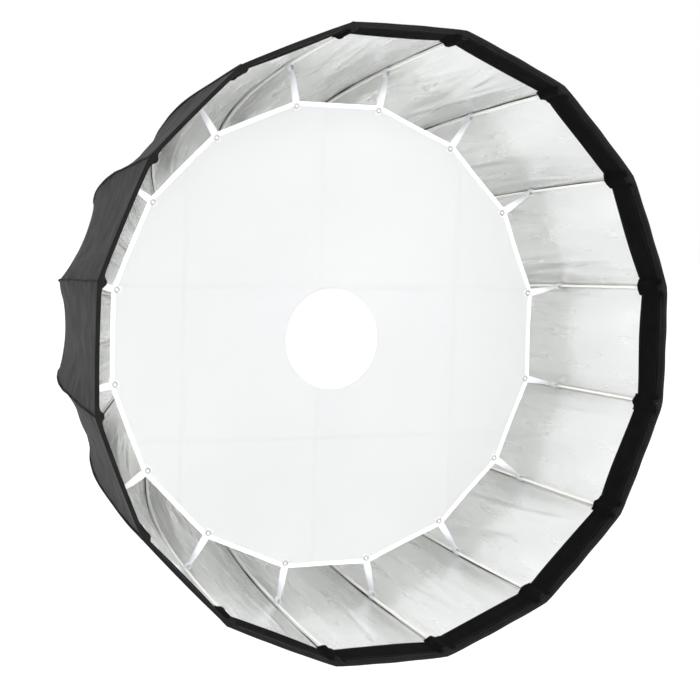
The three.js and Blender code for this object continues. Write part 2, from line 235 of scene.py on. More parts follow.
def rib_line():
    """The centre line of a rib as length, radius, forward and slope: a cubic Bezier from the foot to the
    back of the lip, then straight on past the mouth."""
    at_hub = np.array([math.sin(HUB_SLOPE), math.cos(HUB_SLOPE)])
    at_mouth = np.array([math.sin(MOUTH_SLOPE), math.cos(MOUTH_SLOPE)])
    foot = np.array([HINGE_RADIUS, HINGE_FORWARD]) + ROD_START * at_hub
    mouth = np.array([MOUTH_RADIUS - SKIN_AWAY / at_mouth[1], DEPTH])
    lip = mouth - at_mouth * LIP_DEPTH / at_mouth[1]
    chord = np.linalg.norm(lip - foot)
    control = [foot, foot + HUB_FULLNESS * chord * at_hub, lip - MOUTH_FULLNESS * chord * at_mouth, lip]
    t = np.linspace(0, 1, 500)[:, None]
    bow = np.hstack([(1 - t) ** 3, 3 * t * (1 - t) ** 2, 3 * t**2 * (1 - t), t**3]) @ np.array(control)
    straight = lip + np.linspace(0.01, 1.4, 60)[:, None] * (mouth - lip)
    points = np.vstack([bow, straight])
    steps = np.diff(points, axis=0)
    length = np.concatenate([[0], np.cumsum(np.hypot(steps[:, 0], steps[:, 1]))])
    along = np.gradient(points, length, axis=0)
    return length, points[:, 0], points[:, 1], np.arctan2(along[:, 0], along[:, 1])


LINE_LENGTH, LINE_RADIUS, LINE_FORWARD, LINE_SLOPE = rib_line()


def length_at(forward, away=0.0):
    """Length along the rib at which the line that far away from it is that far forward."""
    return np.interp(forward, LINE_FORWARD - away * np.sin(LINE_SLOPE), LINE_LENGTH)


def beside_rib(length, away):
    """Radius, forward and slope at a length along the rib, moved away from the axis square to it."""
    slope = np.interp(length, LINE_LENGTH, LINE_SLOPE)
    radius = np.interp(length, LINE_LENGTH, LINE_RADIUS) + away * np.cos(slope)
    forward = np.interp(length, LINE_LENGTH, LINE_FORWARD) - away * np.sin(slope)
    return radius, forward, slope


def place(radius, side, forward, turn):
    """The point that far up from the axis, to the side and forward, turned round the axis."""
    radius, side, forward = np.broadcast_arrays(radius, side, forward)
    x = radius * math.sin(turn) + side * math.cos(turn)
    z = radius * math.cos(turn) - side * math.sin(turn)
    return np.stack([x, -forward, z], -1)


RIB_LENGTH = float(length_at(DEPTH))
LIP_START = float(length_at(DEPTH - LIP_DEPTH))
CLOTH_END = DEPTH - SHORT_OF_MOUTH
rib_turns = [(i - 0.5) * PITCH for i in range(RIBS)]
gore_turns = [turn + HALF_PITCH for turn in rib_turns]


def dip(length):
    """How far the middle of a gore is drawn in: one arch along the gore, and a little the other way at
    the mouth."""
    v = np.clip(length / RIB_LENGTH, 0, 1)
    return DIP_MIDDLE * np.sin(math.pi * v**1.3) + DIP_MOUTH * v**4


def gore_surface(length, across, away, turn, set_back):
    """A gore's surface: a chord from rib to rib, its side running from -1 to 1 times half the chord,
    drawn in towards the axis by the dip times (1 - across squared)."""
    radius, forward, slope = beside_rib(length, away)
    drawn = dip(length) * (1 - across**2)
    half = radius * math.sin(HALF_PITCH) - set_back
    up = radius * math.cos(HALF_PITCH) - drawn * np.cos(slope)
    return place(up, across * half, forward + drawn * np.sin(slope), turn)


def gore_layers(length, across, faces, relief, turn, set_back):
    """The outer and the inner grid of a cloth: the gore's surface, with relief, at two distances away
    from the rib. Its length is drawn in so that both grids end short of the mouth by the same."""
    return [
        gore_surface(length * length_at(CLOTH_END, away) / RIB_LENGTH, across, away + relief, turn, set_back)
        for away in faces
    ]


def half_width(length):
    """Half the width of a gore at a length along the rib."""
    return beside_rib(length, 0)[0] * math.sin(HALF_PITCH)


def from_seam(length, across):
    """Distance across a gore from its nearer seam."""
    return half_width(length) * (1 - np.abs(across))


def gore_cloth(length, across):
    """Cloth coordinates in metres, point by point: across the gore and along it."""
    return paired(across * half_width(length), length).reshape(-1, 2)


def creases(length, across, draw, count, depth, width):
    """Soft creases that run along a gore. Each is a ridge exp(-(distance / width)^2) about a line that
    drifts across as it goes, and fades in and out as sine squared over its stretch."""
    v = (length / RIB_LENGTH)[None]
    u = across[None]
    start, stretch = draw.uniform(-0.2, 0.75, (count, 1, 1)), draw.uniform(0.2, 0.6, (count, 1, 1))
    middle, drift = draw.uniform(-0.9, 0.9, (count, 1, 1)), draw.uniform(-0.7, 0.7, (count, 1, 1))
    height = draw.uniform(-1.0, 1.0, (count, 1, 1)) * depth
    breadth = draw.uniform(0.5, 1.6, (count, 1, 1)) * width
    part_way = np.clip((v - start) / stretch, 0, 1)
    ridge = np.exp(-(((u - middle - drift * (part_way - 0.5)) / breadth) ** 2))
    return (height * ridge * np.sin(math.pi * part_way) ** 2).sum(0)


# ---- Finishes ----


class Finish:
    """A Principled finish under construction. Patterns are added to it one after another."""

    def __init__(self, name, colour, roughness, **constants):
        self.material = bpy.data.materials.new(name)
        self.material.use_nodes = True
        self.material.diffuse_color = (*colour, 1)
        self.tree = self.material.node_tree
        self.shader = self.tree.nodes["Principled BSDF"]
        self.colour, self.base_roughness = colour, roughness
        self.shader.inputs["Base Color"].default_value = (*colour, 1)
        self.shader.inputs["Roughness"].default_value = roughness
        for socket, value in constants.items():
            self.shader.inputs[socket.replace("_", " ")].default_value = value
        self.coordinates = self.tree.nodes.new("ShaderNodeTexCoord")

    def node(self, kind, settings=None, **inputs):
        """A node of that kind. Its inputs are values or the sockets that feed them."""
        made = self.tree.nodes.new("ShaderNode" + kind)
        for key, value in (settings or {}).items():
            setattr(made, key, value)
        for key, value in inputs.items():
            socket = made.inputs[int(key[1:])] if key[0] == "i" and key[1:].isdigit() else made.inputs[key]
            if isinstance(value, bpy.types.NodeSocket):
                self.tree.links.new(value, socket)
            else:
                socket.default_value = value
        return made

    def mapped(self, source, scale, turn=0.0):
        """Coordinates of the cloth (UV) or of the object, stretched and turned."""
        inputs = {"Vector": self.coordinates.outputs[source], "Scale": scale, "Rotation": (0, 0, turn)}
        return self.node("Mapping", **inputs).outputs[0]

    def noise(self, source, scale, detail=3.0, stretch=(1, 1, 1), turn=0.0, rough=0.5):
        """A noise pattern on the cloth or the object, whose low stretches draw it out along an axis."""
        vector = self.mapped(source, stretch, turn)
        return self.node("TexNoise", Vector=vector, Scale=scale, Detail=detail, Roughness=rough).outputs[0]

    def wave(self, source, axis, pitch):
        """A sine along one axis, from -1 to 1, once per pitch."""
        split = self.node("SeparateXYZ", Vector=self.coordinates.outputs[source]).outputs[axis]
        phase = self.node("Math", {"operation": "MULTIPLY"}, i0=split, i1=2 * math.pi / pitch).outputs[0]
        return self.node("Math", {"operation": "SINE"}, i0=phase).outputs[0]

    def product(self, first, second):
        """One pattern times another."""
        return self.node("Math", {"operation": "MULTIPLY"}, i0=first, i1=second).outputs[0]

    def vary_colour(self, pattern, light, low=0.3, high=0.7):
        """The base colour turns into the light one as the pattern goes from low to high."""
        ramp = self.node("MapRange", Value=pattern, i1=low, i2=high).outputs[0]
        mix = self.node("Mix", {"data_type": "RGBA"}, Factor=ramp)
        present = self.shader.inputs["Base Color"]
        if present.is_linked:
            self.tree.links.new(present.links[0].from_socket, mix.inputs[6])
        else:
            mix.inputs[6].default_value = (*self.colour, 1)
        mix.inputs[7].default_value = (*light, 1)
        self.tree.links.new(mix.outputs[2], present)

    def vary_roughness(self, pattern, change):
        """Roughness from base - change to base + change as the pattern goes from 0.3 to 0.7."""
        low, high = self.base_roughness - change, self.base_roughness + change
        ranged = self.node("MapRange", Value=pattern, i1=0.3, i2=0.7, i3=low, i4=high).outputs[0]
        self.tree.links.new(ranged, self.shader.inputs["Roughness"])

    def bump(self, height, distance, strength=1.0):
        """Adds relief on top of what is there already. The distance is the height in metres of 1."""
        made = self.node("Bump", Height=height, Distance=distance, Strength=strength)
        present = self.shader.inputs["Normal"]
        if present.is_linked:
            self.tree.links.new(present.links[0].from_socket, made.inputs["Normal"])
        self.tree.links.new(made.outputs[0], present)

    def glow(self, share, colour):
        """A share of the light goes through the cloth and scatters behind it."""
        behind = self.node("BsdfTranslucent", Color=(*colour, 1))
        through = self.node("MixShader", Fac=share, i1=self.shader.outputs[0], i2=behind.outputs[0])
        self.tree.links.new(through.outputs[0], self.tree.nodes["Material Output"].inputs["Surface"])

    def weave(self, pitch, depth):
        """Plain weave: the product of a sine across and a sine along the cloth."""
        self.bump(self.product(self.wave("UV", 0, pitch), self.wave("UV", 1, pitch)), depth)


def black_nylon():
    """Matt and slightly cloudy, with a fine weave and shallow wrinkles along the gore."""
    colour = (0.0148, 0.0134, 0.0139)
    finish = Finish("Black coated nylon", colour, 0.68, Specular_IOR_Level=0.14, Sheen_Weight=0.012)
    finish.vary_colour(finish.noise("UV", 11, 5, (1, 0.3, 1)), (0.0185, 0.0170, 0.0176))
    finish.vary_roughness(finish.noise("Object", 30, 4), 0.08)
    finish.weave(0.0011, 0.00007)
    finish.bump(finish.noise("UV", 26, 4, (1, 0.25, 1)), 0.0030, 0.6)
    return finish.material


def silver_laminate():
    """Dull mirror, streaked along the gore, with creases of two sizes and a faint weave."""
    finish = Finish("Silver laminate", (0.965, 0.97, 0.96), 0.24, Metallic=0.93, Specular_IOR_Level=0.6)
    finish.vary_colour(finish.noise("UV", 14, 3, (1, 0.3, 1)), (0.88, 0.885, 0.875), 0.35, 0.75)
    finish.vary_roughness(finish.noise("UV", 40, 4, (1, 0.15, 1)), 0.08)
    # Creases are deep behind the diffuser and shallow in front of it.
    along = finish.node("SeparateXYZ", Vector=finish.coordinates.outputs["UV"]).outputs[1]
    slack = finish.node("MapRange", Value=along, i1=0.62, i2=0.70, i3=1.0, i4=0.3).outputs[0]
    long_creases = finish.noise("UV", 42, 4, (1, 0.07, 1), 0.1)
    finish.bump(finish.product(long_creases, slack), 0.0055, 0.75)
    short_creases = finish.noise("UV", 95, 3, (1, 0.22, 1), -0.3, 0.45)
    finish.bump(finish.product(short_creases, slack), 0.0016, 0.4)
    finish.weave(0.0012, 0.00003)
    return finish.material


def loop_pile():
    """Very dark and matt, with a fine fuzzy relief."""
    finish = Finish("Black loop pile", (0.0028, 0.0028, 0.003), 0.95, Specular_IOR_Level=0.06)
    finish.vary_colour(finish.noise("Object", 60, 4), (0.0052, 0.005, 0.005))
    finish.bump(finish.noise("UV", 900, 4), 0.0007, 0.7)
    return finish.material


def black_tape():
    """Ribs across the tape, with a little fuzz."""
    finish = Finish("Black grosgrain tape", (0.006, 0.0058, 0.0057), 0.75, Specular_IOR_Level=0.12)
    finish.vary_colour(finish.noise("Object", 45, 3), (0.010, 0.0095, 0.0088))
    finish.bump(finish.wave("UV", 1, 0.0016), 0.00012)
    finish.bump(finish.noise("UV", 350, 3), 0.0003, 0.5)
    return finish.material


def black_thread():
    """Dark satin thread with a fine uneven relief."""
    finish = Finish("Black thread", (0.012, 0.012, 0.0125), 0.6, Specular_IOR_Level=0.3)
    finish.bump(finish.noise("Object", 2200, 2), 0.0002, 0.6)
    finish.vary_roughness(finish.noise("Object", 800, 2), 0.1)
    return finish.material


# Where the folded diffuser keeps its fold lines: the axis they are square to, and their places on it
POPLIN_FOLDS = ((0, (-0.235, -0.02, 0.21)), (2, (-0.15, 0.075)))
FOLD_HALF_WIDTH = 0.006


def white_poplin():
    """Thin white cloth that lets light through, with a weave, slow waves and a few fold lines."""
    finish = Finish("White diffusion poplin", (0.79, 0.795, 0.80), 0.86, Sheen_Weight=0.1)
    finish.vary_colour(finish.noise("Object", 3.2, 3), (0.83, 0.834, 0.838))
    finish.glow(0.6, (0.95, 0.955, 0.96))
    finish.vary_roughness(finish.noise("Object", 25, 3), 0.05)
    finish.weave(0.0009, 0.00004)
    finish.bump(finish.noise("Object", 7, 3), 0.006, 0.35)
    for axis, middles in POPLIN_FOLDS:
        across = finish.node("SeparateXYZ", Vector=finish.coordinates.outputs["Object"]).outputs[axis]
        for middle in middles:
            offset = finish.node("Math", {"operation": "SUBTRACT"}, i0=across, i1=middle).outputs[0]
            far = finish.node("Math", {"operation": "ABSOLUTE"}, i0=offset).outputs[0]
            crest = finish.node("MapRange", Value=far, i1=0.0, i2=FOLD_HALF_WIDTH, i3=1.0, i4=0.0)
            finish.bump(crest.outputs[0], 0.0016, 0.8)
    return finish.material


def white_hem():
    """The same cloth in several layers: brighter, opaque, and a little puckered."""
    finish = Finish("White folded hem", (0.86, 0.86, 0.865), 0.8, Sheen_Weight=0.1)
    finish.vary_colour(finish.noise("Object", 30, 3), (0.90, 0.90, 0.905))
    finish.weave(0.0009, 0.00006)
    finish.bump(finish.noise("Object", 120, 3), 0.0006, 0.4)
    return finish.material


def white_elastic():
    """Ribs along and across the tape."""
    finish = Finish("White elastic tape", (0.70, 0.70, 0.735), 0.74, Sheen_Weight=0.15)
    finish.vary_colour(finish.noise("Object", 70, 3), (0.78, 0.78, 0.805))
    finish.bump(finish.wave("UV", 1, 0.0011), 0.0001)
    finish.bump(finish.wave("UV", 0, 0.0018), 0.00006)
    return finish.material


def glass_fibre():
    """Smooth off-white rod with faint streaks along it."""
    finish = Finish("White glass fibre", (0.93, 0.925, 0.89), 0.34, Coat_Weight=0.2)
    finish.vary_colour(finish.noise("Object", 40, 4), (0.87, 0.86, 0.81), 0.5, 0.8)
    finish.vary_roughness(finish.noise("UV", 160, 3, (1, 0.05, 1)), 0.08)
    finish.bump(finish.noise("UV", 600, 2, (1, 0.03, 1)), 0.0001, 0.6)
    return finish.material


def nickel():
    """Grey plated metal, unevenly polished."""
    finish = Finish("Nickel eyelet", (0.33, 0.33, 0.34), 0.3, Metallic=1.0)
    finish.vary_roughness(finish.noise("Object", 420, 3), 0.1)
    finish.bump(finish.noise("Object", 700, 3), 0.0001, 0.4)
    return finish.material


def moulded_plastic():
    """Satin black with a fine moulded grain."""
    finish = Finish("Black moulded plastic", (0.022, 0.022, 0.024), 0.52, Specular_IOR_Level=0.45)
    finish.vary_roughness(finish.noise("Object", 60, 3), 0.07)
    finish.vary_colour(finish.noise("Object", 35, 3), (0.030, 0.030, 0.031))
    finish.bump(finish.noise("Object", 1500, 3), 0.00012, 0.5)
    return finish.material


def anodised():
    """Black metal with a soft sheen and fine streaks along the axis."""
    finish = Finish("Black anodised aluminium", (0.035, 0.035, 0.038), 0.36, Metallic=0.85)
    finish.vary_roughness(finish.noise("Object", 50, 4), 0.08)
    finish.vary_colour(finish.noise("Object", 22, 4), (0.05, 0.05, 0.053), 0.45, 0.75)
    finish.bump(finish.noise("Object", 900, 2, (1, 0.05, 1)), 0.00006, 0.5)
    return finish.material


def spring_steel():
    """Bright drawn wire with a faint grain."""
    finish = Finish("Spring steel", (0.62, 0.61, 0.59), 0.32, Metallic=1.0)
    finish.vary_roughness(finish.noise("Object", 300, 3), 0.1)
    finish.bump(finish.noise("Object", 900, 2), 0.00005, 0.5)
    return finish.material


def ribbed_elastic():
    """Matt black elastic with ribs along it and a little fuzz."""
    finish = Finish("Black ribbed elastic", (0.02, 0.02, 0.021), 0.85, Sheen_Weight=0.2)
    finish.vary_colour(finish.noise("Object", 80, 3), (0.028, 0.028, 0.029))
    finish.bump(finish.wave("UV", 1, 0.0019), 0.0002)
    finish.bump(finish.noise("UV", 700, 3), 0.0002, 0.5)
    return finish.material


NYLON, LAMINATE, PILE = black_nylon(), silver_laminate(), loop_pile()
TAPE, THREAD, CUFF = black_tape(), black_thread(), ribbed_elastic()
POPLIN, HEM, ELASTIC, FIBRE = white_poplin(), white_hem(), white_elastic(), glass_fibre()
NICKEL, PLASTIC, ANODISED, STEEL = nickel(), moulded_plastic(), anodised(), spring_steel()


# ---- Baking pieces in place ----

HALF_MOUTH = MOUTH_RADIUS * math.sin(HALF_PITCH)


def bend_with_gore(piece, i):
    """Bakes a piece of gore i into place. The gore's ends at its two seams are found but not used."""
    ends = [place(0.0, side, 0.0, gore_turns[i]) for side in (-HALF_MOUTH, HALF_MOUTH)]
    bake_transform(piece)


def bend_with_diffuser(piece, i):
    """Bakes a piece of the diffuser into place. Its ends at the axis and at rib i's corner are found but not
    used.
    """
    ends = [place(radius, 0.0, DIFFUSER_FORWARD, rib_turns[i]) for radius in (0.0, EYELET_RADIUS_AT)]
    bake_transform(piece)


# ---- Gores ----

GORE_ROWS = 150
SKIN_COLUMNS = 33
LINING_COLUMNS = 57

GATHER_PLEATS = 7
GATHER_HEIGHT = 0.0011
GATHER_REACH = 0.035
PUCKER_HEIGHT = 0.00035
PUCKER_LENGTHS = (0.0062, 0.0101)
PUCKER_FROM_SEAM = 0.009
PUCKER_SPREAD = 0.008
LINING_SLACK = 0.0007
LINING_HIGHEST = 0.0002
LINING_FADE = 0.05
SEAM_RISE = 0.0007
SEAM_REACH = 0.004

POCKET_LIFT = 0.0060
POCKET_LIFT_REACH = 0.0062
BINDING_MIDDLE = RIB_LENGTH - 0.0045
BINDING_HALF_WIDTH = 0.0055


def gathers(length, across, draw):
    """Small pleats where the skin is drawn onto the hub: a sine across that dies out along the gore."""
    phase = draw.uniform(0, 2 * math.pi)
    pleats = GATHER_HEIGHT * np.sin(GATHER_PLEATS * math.pi * across + phase)
    return pleats * np.exp(-length / GATHER_REACH) * (1 - across**4)


def puckers(length, across, draw):
    """Ripples beside the seams: two sines along the seam that die out on both sides of a line near it."""
    phase = draw.uniform(0, 2 * math.pi, 2)
    short, long = (np.sin(length / PUCKER_LENGTHS[k] + phase[k]) for k in range(2))
    fading = np.exp(-(((from_seam(length, across) - PUCKER_FROM_SEAM) / PUCKER_SPREAD) ** 2))
    return PUCKER_HEIGHT * (short + 0.6 * long) * fading


def gore_skin(i, draw):
    """The outer skin of a gore: its surface with gathers, puckers and creases. Relief that goes more than
    about 0.3 mm inwards is cut to a tenth, to stay clear of the lining."""
    length, across = grid(0, RIB_LENGTH, GORE_ROWS, SKIN_COLUMNS)
    relief = gathers(length, across, draw) + puckers(length, across, draw)
    relief += creases(length, across, draw, count=11, depth=0.0022, width=0.15) * (1 - across**4)
    relief = np.maximum(relief, -0.0003 + 0.1 * relief)
    faces = SKIN_AWAY, SKIN_AWAY - SKIN_THICKNESS
    layers = gore_layers(length, across, faces, relief, gore_turns[i], SEAM_SET_BACK)
    cloth = gore_cloth(length, across)
    return make(f"gore_skin_{NUMBERS[i]}", [wall(*layers, cloth)], NYLON)


def gore_lining(i, draw):
    """The lining of a gore: its surface with many fine creases and a few broad ones, which hang inwards
    and fade out at the seams and before the band. It rises towards the skin beside a seam."""
    length, across = grid(0, RIB_LENGTH, GORE_ROWS, LINING_COLUMNS)
    loose = (1 - np.abs(across) ** 5) * np.clip((LIP_START - length) / LINING_FADE, 0, 1)
    fine = creases(length, across, draw, count=30, depth=0.0019, width=0.045)
    broad = creases(length, across, draw, count=7, depth=0.0032, width=0.14)
    rise = SEAM_RISE * np.exp(-from_seam(length, across) / SEAM_REACH)
    relief = np.minimum(fine + broad - LINING_SLACK, LINING_HIGHEST) * loose + rise
    faces = LINING_AWAY + LINING_THICKNESS, LINING_AWAY
    layers = gore_layers(length, across, faces, relief, gore_turns[i], LINING_SET_BACK)
    cloth = gore_cloth(length, across)
    return make(f"gore_lining_{NUMBERS[i]}", [wall(*layers, cloth)], LAMINATE)


def lip_band(i, draw):
    """The loop pile band: flat on the lining, swaying a little across, with its inner edge rounded off."""
    length, across = grid(LIP_START, RIB_LENGTH - 0.001, 19, 41)
    sway = 0.0009 * np.sin(across * draw.uniform(2, 4) + draw.uniform(0, 6))
    length = length + sway * np.clip((RIB_LENGTH - length) / LIP_DEPTH, 0, 1)
    soft_edge = 0.0004 * (np.clip((length - LIP_START) / 0.0015, 0, 1) - 1) ** 2
    on_lining = LINING_AWAY - 0.0002
    layers = [
        gore_surface(length, across, away, gore_turns[i], BAND_SHORT_OF_RIB - 0.0015)
        for away in (on_lining, on_lining - BAND_THICKNESS + soft_edge)
    ]
    cloth = gore_cloth(length, across)
    return make(f"lip_band_{NUMBERS[i]}", [wall(*layers, cloth)], PILE)


def over_rod(from_rib):
    """How far a cloth that lies over the end of a rod is lifted: a bell, by distance from the rib's
    plane."""
    return POCKET_LIFT * np.exp(-((np.abs(from_rib) / POCKET_LIFT_REACH) ** 2.4))


def edge_binding(i):
    """Tape folded over the edge of the mouth: a flattened ring round the edge, carried from rib to rib,
    and deeper where it takes in the pockets of the rods."""
    around, across = circle(20)[None], np.linspace(-1, 1, 61)[:, None]
    from_rib = (1 - np.abs(across)) * HALF_MOUTH
    near = LINING_AWAY - BAND_THICKNESS - 0.0009 - over_rod(from_rib) * 1.12
    far = SKIN_AWAY + 0.0020
    away = (near + far) / 2 + (far - near) / 2 * flattened(np.cos(around), 0.5)
    uneven = 0.0005 * np.sin(across * 9 + i) * (1 - across**2)
    length = BINDING_MIDDLE + uneven + BINDING_HALF_WIDTH * flattened(np.sin(around), 0.5)
    rings = gore_surface(length, across, away, gore_turns[i], SEAM_SET_BACK)
    cloth = paired(around * 0.003, across * HALF_MOUTH)
    return make(f"edge_binding_{NUMBERS[i]}", [rod(rings, cloth)], TAPE)


# ---- Stitches ----

STITCH_SIDES = 5
STITCH_RUN = np.array([-0.5, -0.3, 0.3, 0.5])
STITCH_GIRTH = np.array([0.45, 1.0, 1.0, 0.45])


def stitches(centres, along, out, length, radius):
    """Short threads laid on a surface: a five-sided spindle at each centre, pointing along, half sunk."""
    along = along / np.linalg.norm(along, axis=-1, keepdims=True)
    side = np.cross(along, out)
    side /= np.linalg.norm(side, axis=-1, keepdims=True)
    up = np.cross(side, along)
    ring = circle(STITCH_SIDES)
    run = STITCH_RUN.repeat(STITCH_SIDES)[:, None] * length
    breadth = np.outer(STITCH_GIRTH, np.cos(ring)).reshape(-1, 1) * radius
    height = np.outer(STITCH_GIRTH, np.sin(ring)).reshape(-1, 1) * radius
    points = centres[:, None] + (run * along[:, None] + breadth * side[:, None] + height * up[:, None])
    quads = grid_faces(len(STITCH_RUN), STITCH_SIDES, closed_columns=True)
    caps = np.array([np.arange(STITCH_SIDES), len(run) - 1 - np.arange(STITCH_SIDES)])
    starts = len(run) * np.arange(len(centres))[:, None, None]
    return part(points, [(f[None] + starts).reshape(-1, f.shape[1]) for f in (quads, caps)])


def stitched_line(points, out, pitch, length=0.0026, radius=0.00028):
    """Stitches at equal steps along a line of points, on the side of the surface that out points to, or
    on the side away from the axis where out is None."""
    steps = np.linalg.norm(np.diff(points, axis=0), axis=1)
    run = np.concatenate([[0], np.cumsum(steps)])
    at = np.arange(pitch / 2, run[-1], pitch)
    behind, centres, ahead = (
        np.stack([np.interp(at + shift, run, points[:, k]) for k in range(3)], -1)
        for shift in (-pitch / 4, 0, pitch / 4)
    )
    out = centres * np.array([1.0, 0.0, 1.0]) if out is None else np.broadcast_to(out, centres.shape)
    return stitches(centres, ahead - behind, out, length, radius)


def lip_stitching(i):
    """Two rows along the band, one near each of its edges."""
    rows = []
    inward = -place(1.0, 0.0, 0.0, gore_turns[i])
    across = np.linspace(-0.985, 0.985, 40)
    for start in (LIP_START + 0.0035, RIB_LENGTH - 0.0135):
        line = gore_surface(np.full(40, start), across, BAND_FACE, gore_turns[i], BAND_SHORT_OF_RIB)
        rows.append(stitched_line(line, inward, 0.0036))
    return make(f"lip_stitching_{NUMBERS[i]}", rows, THREAD)


# ---- Ribs ----

ROD_RINGS = 90
ROD_DOME = np.array([0.5, 1.0, 1.4])

EYE_RADIUS = 0.0055
EYE_HOLE_RADIUS = 0.0017
NECK_HALF = 0.0031
FOOT_REACH = 0.0125
FOOT_HALF = 0.0025

POCKET_HALF = 0.0135
POCKET_TUCK = 0.0016
POCKET_THICKNESS = 0.0008


def rib_frame(length, away, side, turn):
    """Points at a length along a rib, that far away from its centre line and to its side."""
    radius, forward, _ = beside_rib(length, away)
    return place(radius, side, forward, turn)


def rib_rod(i):
    """A round rod: a circle carried along the rib's line, with a domed tip."""
    end = RIB_LENGTH - ROD_END_GAP - ROD_RADIUS
    length = np.concatenate([np.linspace(0, end, ROD_RINGS), end + ROD_RADIUS * np.sin(ROD_DOME)])[:, None]
    radius = ROD_RADIUS * np.concatenate([np.ones(ROD_RINGS), np.cos(ROD_DOME)])[:, None]
    around = circle(14)[None]
    rings = rib_frame(length, radius * np.cos(around), radius * np.sin(around), rib_turns[i])
    cloth = paired(around * ROD_RADIUS, length)
    return make(f"rib_rod_{NUMBERS[i]}", [rod(rings, cloth)], FIBRE)


def beside_wire(outline, side, turn):
    """Points of an outline in a rib's plane, which runs from the hinge wire along the rod and square to
    it, moved to the side."""
    along, square = outline.T
    radius = HINGE_RADIUS + along * math.sin(HUB_SLOPE) + square * math.cos(HUB_SLOPE)
    forward = HINGE_FORWARD + along * math.cos(HUB_SLOPE) - square * math.sin(HUB_SLOPE)
    return place(radius, side, forward, turn)


def rib_foot(i):
    """The moulded foot: an eye round the hinge wire and a neck that grips the rod. Its outline in the
    rib's plane is the eye's circle drawn out into the neck, with rounded rims on both sides."""
    around = circle(48)
    eye = np.stack([np.cos(around), np.sin(around)], -1)
    along, square = EYE_RADIUS * eye.T
    towards_rod = along > 0
    along = np.where(towards_rod, along * FOOT_REACH / EYE_RADIUS, along)
    half_height = NECK_HALF + (EYE_RADIUS - NECK_HALF) * np.clip(1 - along / 0.006, 0, 1)
    narrowed = np.sign(square) * np.clip(np.abs(square), 0, half_height)
    outline = np.stack([along, np.where(towards_rod, narrowed, square)], -1)
    hole = EYE_HOLE_RADIUS * eye
    half = FOOT_HALF
    rings = [(outline * 0.92, -half), (outline, -half * 0.8), (outline, half * 0.8), (outline * 0.92, half)]
    rings += [(hole * 1.15, half), (hole, half * 0.85), (hole, -half * 0.85), (hole * 1.15, -half)]
    shape = np.stack([beside_wire(ring, side, rib_turns[i]) for ring, side in rings])
    return make(f"rib_foot_{NUMBERS[i]}", [hoop(shape)], PLASTIC, 50)


def seam_welt(i, draw):
    """The raised seam over a rib: a narrow wavering ridge carried along it outside the skin, and a flat
    seam allowance inside the skin, which closes the gap between two linings."""
    length = np.linspace(0, RIB_LENGTH - 0.004, 130)[:, None]
    around = circle(12)[None]
    waver = 0.0005 * np.sin(length / 0.013 + draw.uniform(0, 6)) + 0.0004 * np.sin(length / 0.031)
    height = 0.0021 + 0.0006 * np.sin(length / 0.045 + draw.uniform(0, 6))
    away = SKIN_AWAY + 0.0002 + height * np.sin(around)
    side = waver + 0.0013 * np.cos(around)
    ridge = rib_frame(length, away, side, rib_turns[i])
    cloth = paired(around * 0.0015, length)
    tape_side = np.linspace(-0.0028, 0.0028, 5)[None]
    roof = np.abs(tape_side) * math.tan(HALF_PITCH)
    front, back = (rib_frame(length, a - roof, tape_side, rib_turns[i]) for a in (0.0057, 0.0060))
    allowance = wall(back, front, paired(tape_side, length).reshape(-1, 2))
    return make(f"seam_welt_{NUMBERS[i]}", [rod(ridge, cloth), allowance], TAPE)


def tip_pocket(i, draw):
    """The pocket for a rod's tip: a patch laid over the rod and both bands, a little askew, with an
    uneven inner end that is narrower and thicker where it is tucked in. Two rows of stitches run along
    its sides and two across it."""
    skew, shift = draw.uniform(-0.05, 0.05), draw.uniform(-0.003, 0.003)
    run, side = grid(0, 1, 25, 33)
    narrowing = 1 - 0.10 * np.exp(-((run / 0.1) ** 2))
    across = POCKET_HALF * side * narrowing + shift
    length = LIP_START - POCKET_TUCK + run * (LIP_DEPTH + POCKET_TUCK - 0.003) + skew * across * (1 - run)
    length = length + 0.0012 * (1 - run) ** 4 * np.cos(side * 5 + shift * 900)
    tucked = 0.0011 * np.exp(-((run / 0.06) ** 2))
    face = BAND_FACE - over_rod(across) - tucked - np.abs(across) * math.tan(HALF_PITCH)
    layers = [rib_frame(length, away, across, rib_turns[i]) for away in (face, face - POCKET_THICKNESS)]
    patch = wall(*layers, paired(across, length).reshape(-1, 2))
    inward = -place(1.0, 0.0, 0.0, rib_turns[i])
    columns = layers[1][:, 3], layers[1][:, -4]
    rows = layers[1][2, 3:-3], layers[1][12, 3:-3]
    threads = [stitched_line(line, inward, 0.0034) for line in (*columns, *rows)]
    return make(f"tip_pocket_{NUMBERS[i]}", [patch, *threads], PILE)


# ---- Straps and eyelets ----

STRAP_LENGTH_AT = float(length_at(STRAP_FORWARD))
STRAP_RIB_RADIUS = float(np.interp(STRAP_LENGTH_AT, LINE_LENGTH, LINE_RADIUS))
STRAP_RIB_SLOPE = float(np.interp(STRAP_LENGTH_AT, LINE_LENGTH, LINE_SLOPE))
EYELET_RADIUS_AT = STRAP_RIB_RADIUS - STRAP_REACH
THROAT = 0.0105
TWIST_START = 0.16
RIBBON_SIDES = 20
RIBBON_GIRTH = 0.022

ROLL_MIDDLE = 0.00335
ROLL_HALF = 0.00125
BARREL_INSIDE = 0.0019
BARREL_OUTSIDE = 0.0023


def ribbon(centre, width_way, face_way, half_widths, half_thickness):
    """A tape along a line of centres: a rounded flat section, its width and its face turning as it goes."""
    around = circle(RIBBON_SIDES)[None, :, None]
    wide = np.broadcast_to(half_widths, len(centre))[:, None, None] * flattened(np.cos(around), 0.5)
    thick = half_thickness * flattened(np.sin(around), 0.8)
    return centre[:, None] + wide * width_way[:, None] + thick * face_way[:, None]


def ribbon_cloth(run):
    """Cloth coordinates of a ribbon: round its section and along its run, in metres."""
    return paired(np.linspace(0, RIBBON_GIRTH, RIBBON_SIDES)[None], run)


